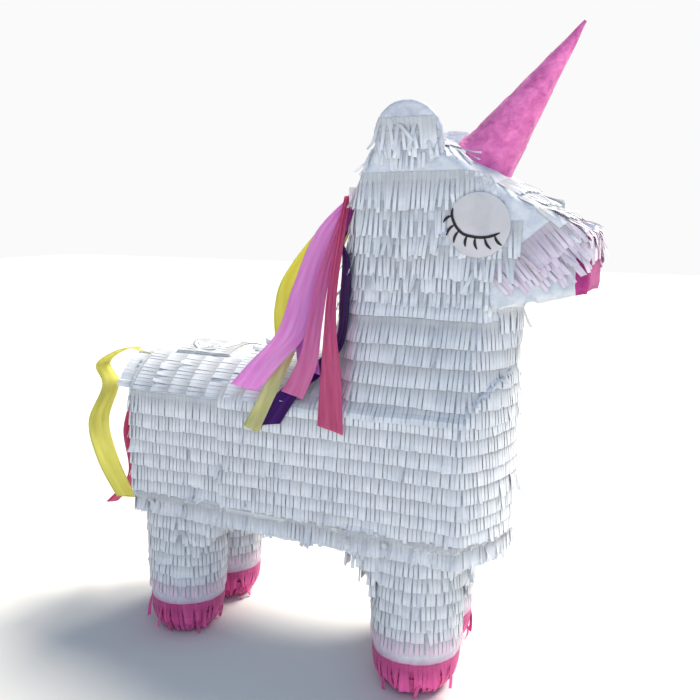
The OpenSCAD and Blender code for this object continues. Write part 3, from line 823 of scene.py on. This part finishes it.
# %% Horn
HORN_ROOT = at(135, 0, 486)
horn_lean = math.radians(36)
HORN_LENGTH, HORN_START, HORN_R = 142 * MM, -12 * MM, 30 * MM
# Painted light and shade: the two colours are a lit and a shaded orchid pink, laid on by the fold pattern
horn_tissue = crumpled("orchid tissue, wound", "#FF8CCE", "#C8569F", fold=12, depth=1.2, rough=0.5, sheen=0.2)
bm = bmesh.new()
bmesh.ops.create_cone(bm, cap_ends=False, segments=56, radius1=1, radius2=0.04, depth=1)
uprights = [e for e in bm.edges if abs(e.verts[0].co.z - e.verts[1].co.z) > 0.5]
bmesh.ops.subdivide_edges(bm, edges=uprights, cuts=90, use_grid_fill=True)
tilt = Matrix.Rotation(horn_lean, 4, "Y")
for v in bm.verts:
    t = v.co.z + 0.5
    angle = math.atan2(v.co.y, v.co.x)
    radius = HORN_R * (1 - t) + 1.6 * MM * t - 0.7 * MM
    turns = angle / (2 * math.pi) + 3.2 * t
    lap = (turns % 1.0)
    ridge = abs(noise.noise(Vector((math.cos(angle) * 1.3 + t * 2.2, math.sin(angle) * 1.3 - t * 3,
                                    t * 4.5))))
    fine = noise.noise(Vector((math.cos(angle) * 4, math.sin(angle) * 4 + 9 * t, t * 16)))
    grow = max(0, 1.0 * lap + 2.4 * ridge + 0.35 * fine) * (1 - 0.7 * t) * MM
    reach = HORN_START + t * (HORN_LENGTH - HORN_START)
    flare = 1.5 * MM * max(0, 0.12 - t) / 0.12 * (1 + noise.noise(Vector((angle * 3, 2, 0))))
    v.co = Vector((math.cos(angle), math.sin(angle), 0)) * max(radius + grow + flare, 0.5 * MM) + UP * reach
bmesh.ops.transform(bm, matrix=Matrix.Translation(HORN_ROOT) @ tilt, verts=bm.verts)
tip_ring = [e for e in bm.edges if e.is_boundary and e.calc_length() < 0.5 * MM]
bmesh.ops.contextual_create(bm, geom=tip_ring)
bmesh.ops.recalc_face_normals(bm, faces=bm.faces)
horn = finish_piece("horn_wrap_tissue", bm, [horn_tissue], "body", ["horn_wrap"],
                    thick=0.5 * MM, angle=70)
print("horn", len(horn.data.polygons), "faces")

# %% [markdown]
# ## Ears, eyes and label
# Each ear is a half disc of card covered in glazed paper whose blue-grey colour is painted shade. The eyes
# are round satin stickers printed with a closed lid and seven lashes. On the door lies a round paper label
# with a printed ring of dashes.

# %% Ears
EAR_LEAN = {"right": 12, "left": 50}    # degrees outwards: the left one has flopped
for side, way in (("right", -1), ("left", 1)):
    bm = bmesh.new()
    add_hull(bm, [f"ear_{side}"])
    ear = remeshed(bm, 1.6 * MM)
    bm.free()
    for _ in range(4):
        bmesh.ops.smooth_vert(ear, verts=ear.verts, factor=0.5, use_axis_x=True, use_axis_y=True,
                              use_axis_z=True)
    ear.normal_update()
    for v in ear.verts:
        v.co += v.normal * (0.5 + 0.6 * noise.noise(v.co / (13 * MM))) * MM
    surface = BVHTree.FromBMesh(ear)
    finish_piece(f"ear_paper_{side}", ear, [ear_paper], "body", [f"ear_{side}"])
    # Rows on the outer face, laid in the ear's own slope
    lean = math.radians(EAR_LEAN[side])
    axis = Vector((0, way * math.sin(lean), math.cos(lean)))
    outer = Vector((0, way * math.cos(lean), -math.sin(lean)))
    tuft = Fringe()
    for row, (height, span, length) in enumerate(((32, 27, 27), (20, 31, 22))):
        line = []
        for i in range(60):
            root = at(82 - span + 2 * span * i / 59, way * 45, 493) + axis * height * MM + outer * 25 * MM
            hit = surface.ray_cast(root, -outer)[0]
            if hit:
                line.append(hit)
        tuft.strip(spaced(line, STRAND), -axis, length, 600 + 10 * row + (way > 0), surface=surface,
                   stray=0.25, sway=6, stuck=0.1, gone=0.06, low=0.5, high=2.2, curl=0.4, cut=0.7)
    tuft.piece(f"ear_fringe_{side}", [white_tissue], "body", [], "white_tissue", [f"ear_paper_{side}"])

# %% Eye stickers and lashes
satin = crumpled("satin sticker film", "#DDDADD", "#C6C6CA", fold=30, depth=0.2, rough=0.28, sheen=0.0)
ink = blank("black printing ink")
ink_place = add(ink, "TexCoord").outputs["Object"]
ink_grain = add(ink, "TexNoise", {"Vector": ink_place, "Scale": 1 / (0.6 * MM)})
ink_colour = blend_colours(ink, ink_grain.outputs[0], paint("#0C0C0F"), paint("#1D1D22"))
ink_shader = add(ink, "BsdfPrincipled", {"Base Color": ink_colour, "Roughness": 0.4, "IOR": 1.5})
add(ink, "OutputMaterial", {0: ink_shader.outputs[0]})


def stroke(bm, line, width):
    """A flat brush stroke along a line of points in the plane, with rounded ends"""
    count = len(line) - 1
    grid = bmesh.ops.create_grid(bm, x_segments=1, y_segments=count, size=1)["verts"]
    for v in grid:
        k = round((1 - v.co.y) / 2 * count)
        ahead = (line[min(k + 1, count)] - line[max(k - 1, 0)]).normalized()
        from_end = min(k, count - k) / 2.5
        half = width / 2 * (0.35 + 0.65 * min(1, from_end))
        v.co = line[k] + Vector((-ahead.y, ahead.x, 0)) * half * (1 if v.co.x > 0 else -1)


# The closed lid and the ends of its lashes, in mm forward of and above the middle of the sticker
LID = [(-22.8, 14), (-23.5, 8), (-20.5, 0), (-16, -5.5), (-10.7, -8.6), (0, -10.4), (10, -9.6), (18.7, -6.4)]
LASHES = [((-23.8, 7.6), (-31, 1.9)), ((-20.8, 0), (-28, -9)), ((-17, -5.4), (-21.2, -15.4)),
          ((-9.4, -9.3), (-10.8, -18.4)), ((-2.3, -10.6), (-0.4, -20.6)), ((5.9, -10.4), (11.6, -20)),
          ((14.4, -8.4), (20.8, -16.8))]
for side, way in (("right", -1), ("left", 1)):
    low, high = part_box(f"eye_sticker_{side}")
    centre = (low + high) / 2
    # The sticker's own plane: x forward, y up, z out from the cheek
    out = Vector((0, way, 0))
    plane = Matrix((AHEAD, UP, out)).transposed().to_4x4()
    plane = Matrix.Translation(centre) @ plane
    bm = bmesh.new()
    bmesh.ops.create_circle(bm, cap_ends=True, segments=64, radius=(high.x - low.x) / 2)
    bmesh.ops.inset_region(bm, faces=bm.faces[:], thickness=1.2 * MM)
    for v in bm.verts:
        if v.co.length < (high.x - low.x) / 2 - 0.6 * MM:
            v.co.z += 0.35 * MM
    bmesh.ops.solidify(bm, geom=bm.faces[:], thickness=-0.5 * MM)
    bmesh.ops.recalc_face_normals(bm, faces=bm.faces)
    bmesh.ops.transform(bm, matrix=plane, verts=bm.verts)
    bmesh.ops.recalc_face_normals(bm, faces=bm.faces)
    finish_piece(f"eye_disc_{side}", bm, [satin], "body", [f"eye_sticker_{side}"], angle=30)
    bm = bmesh.new()
    lid = [Vector(through(LID, i / 28)).to_3d() * MM for i in range(29)]
    stroke(bm, lid, 2.4 * MM)
    for (x0, y0), (x1, y1) in LASHES:
        root, tip = Vector((x0, y0, 0)) * MM, Vector((x1, y1, 0)) * MM
        bow = Vector((tip.y - root.y, root.x - tip.x, 0)) * 0.12
        stroke(bm, [root.lerp(tip, i / 8) + bow * math.sin(math.pi * i / 8) for i in range(9)], 2.3 * MM)
    bmesh.ops.solidify(bm, geom=bm.faces[:], thickness=0.3 * MM)
    bmesh.ops.translate(bm, verts=bm.verts, vec=UP * 1.0 * MM)
    bmesh.ops.transform(bm, matrix=plane, verts=bm.verts)
    bmesh.ops.recalc_face_normals(bm, faces=bm.faces)
    finish_piece(f"lash_print_{side}", bm, [ink], "body", [f"lashes_{side}"], smooth=False)

# %% Label on the door
low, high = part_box("fill_label")
label_middle, label_r = (low + high) / 2, (high.x - low.x) / 2
label_paper = blank("label paper, printed ring")
spot = add(label_paper, "TexCoord").outputs["Object"]
centred = add(label_paper, "Mapping", {"Vector": spot, "Location": (-label_middle.x, -label_middle.y, 0)})
xyz = add(label_paper, "SeparateXYZ", {0: centred.outputs[0]})
flat = add(label_paper, "CombineXYZ", {0: xyz.outputs[0], 1: xyz.outputs[1]})
out_from = add(label_paper, "VectorMath", {0: flat.outputs[0]}, operation="LENGTH").outputs["Value"]
turned = add(label_paper, "Math", {0: xyz.outputs[1], 1: xyz.outputs[0]}, operation="ARCTAN2").outputs[0]
print_mask = None
for radius, width, dashes in ((24, 0.9, 0), (20.5, 2.6, 34), (16.5, 0.7, 0)):
    away = add(label_paper, "Math", {0: out_from, 1: radius * MM}, operation="SUBTRACT")
    near = add(label_paper, "Math", {0: away.outputs[0]}, operation="ABSOLUTE")
    band = add(label_paper, "Math", {0: near.outputs[0], 1: width / 2 * MM}, operation="LESS_THAN").outputs[0]
    if dashes:
        beat = add(label_paper, "Math", {0: turned, 1: float(dashes)}, operation="MULTIPLY")
        wave = add(label_paper, "Math", {0: beat.outputs[0]}, operation="SINE")
        on = add(label_paper, "Math", {0: wave.outputs[0], 1: 0.25}, operation="GREATER_THAN")
        band = add(label_paper, "Math", {0: band, 1: on.outputs[0]}, operation="MULTIPLY").outputs[0]
    print_mask = band if print_mask is None else add(label_paper, "Math", {0: print_mask, 1: band},
                                                     operation="MAXIMUM").outputs[0]
worn = add(label_paper, "TexNoise", {"Vector": spot, "Scale": 1 / (4 * MM), "Detail": 3.0})
kept = add(label_paper, "MapRange", {0: worn.outputs[0], 1: 0.38, 2: 0.5})
faded = add(label_paper, "Math", {0: print_mask, 1: kept.outputs[0]}, operation="MULTIPLY")
label_colour = blend_colours(label_paper, faded.outputs[0], paint("#F7F8F7"), paint("#4A4744"))
label_shader = add(label_paper, "BsdfPrincipled", {"Base Color": label_colour, "Roughness": 0.6, "IOR": 1.5})
add(label_paper, "OutputMaterial", {0: label_shader.outputs[0]})

CROWN_R = 87.5 * MM      # the arc of the back, over which the label is bent
bm = bmesh.new()
bmesh.ops.create_circle(bm, cap_ends=True, segments=72, radius=label_r)
for _ in range(9):
    middle_face = min(bm.faces, key=lambda f: (f.calc_center_median().length, -len(f.verts)))
    bmesh.ops.inset_region(bm, faces=[middle_face], thickness=2.9 * MM)
for v in bm.verts:
    place = Vector((label_middle.x + v.co.x, label_middle.y + v.co.y, high.z + 50 * MM))
    top = high.z - CROWN_R + math.sqrt(CROWN_R ** 2 - place.y ** 2)
    v.co = Vector((place.x, place.y, top + 1.5 * MM + 0.25 * MM * noise.noise(place / (6 * MM))))
bmesh.ops.recalc_face_normals(bm, faces=bm.faces)
label = finish_piece("door_label", bm, [label_paper], "door", ["fill_label"],
                     thick=0.25 * MM, angle=40)

# %% [markdown]
# ## Floor and light
# The floor is a plain pale sheet. The light is a soft studio set-up: a warm lamp as wide as 32 degrees of
# sky, above and behind the head, so that the top shines, and a small cool fill panel on the near side.

# %% Floor and light
bm = bmesh.new()
bmesh.ops.create_grid(bm, x_segments=1, y_segments=1, size=6)
floor_mesh = bpy.data.meshes.new("floor")
bm.to_mesh(floor_mesh)
bm.free()
floor = bpy.data.objects.new("floor", floor_mesh)
floor_paint = blank("pale studio floor")
floor_shader = add(floor_paint, "BsdfPrincipled", {"Base Color": paint("#E6E6E4"), "Roughness": 0.9})
add(floor_paint, "OutputMaterial", {0: floor_shader.outputs[0]})
floor_mesh.materials.append(floor_paint)
bpy.context.scene.collection.objects.link(floor)


def panel_light(name, place, size, watts, colour):
    lamp = bpy.data.lights.new(name, "AREA")
    lamp.shape, lamp.size, lamp.energy, lamp.color = "SQUARE", size, watts, paint(colour)[:3]
    holder = bpy.data.objects.new(name, lamp)
    holder.location = place
    holder.rotation_euler = (look_at - Vector(place)).to_track_quat("-Z", "Y").to_euler()
    bpy.context.scene.collection.objects.link(holder)


key_light = bpy.data.lights.new("key", "SUN")
key_light.energy, key_light.angle, key_light.color = 5.4, math.radians(32), paint("#FFF6E8")[:3]
key = bpy.data.objects.new("key", key_light)
key.rotation_euler = Vector((-0.65, -0.85, -1.6)).to_track_quat("-Z", "Y").to_euler()
bpy.context.scene.collection.objects.link(key)
panel_light("fill_panel", (0.55, -1.05, 0.95), 0.8, 3.4, "#C8DEFF")
world = bpy.data.worlds.new("studio")
world.use_nodes = True
world.node_tree.nodes["Background"].inputs[0].default_value = paint("#D2E4FA")
world.node_tree.nodes["Background"].inputs[1].default_value = 0.41
tree = world.node_tree
ray = tree.nodes.new("ShaderNodeLightPath")
sight = tree.nodes.new("ShaderNodeBackground")
sight.inputs[0].default_value = paint("#FAFAFA")
join = tree.nodes.new("ShaderNodeMixShader")
tree.links.new(ray.outputs["Is Camera Ray"], join.inputs[0])
tree.links.new(tree.nodes["Background"].outputs[0], join.inputs[1])
tree.links.new(sight.outputs[0], join.inputs[2])
tree.links.new(join.outputs[0], tree.nodes["World Output"].inputs[0])
bpy.context.scene.world = world
bpy.context.scene.view_settings.view_transform = "Standard"
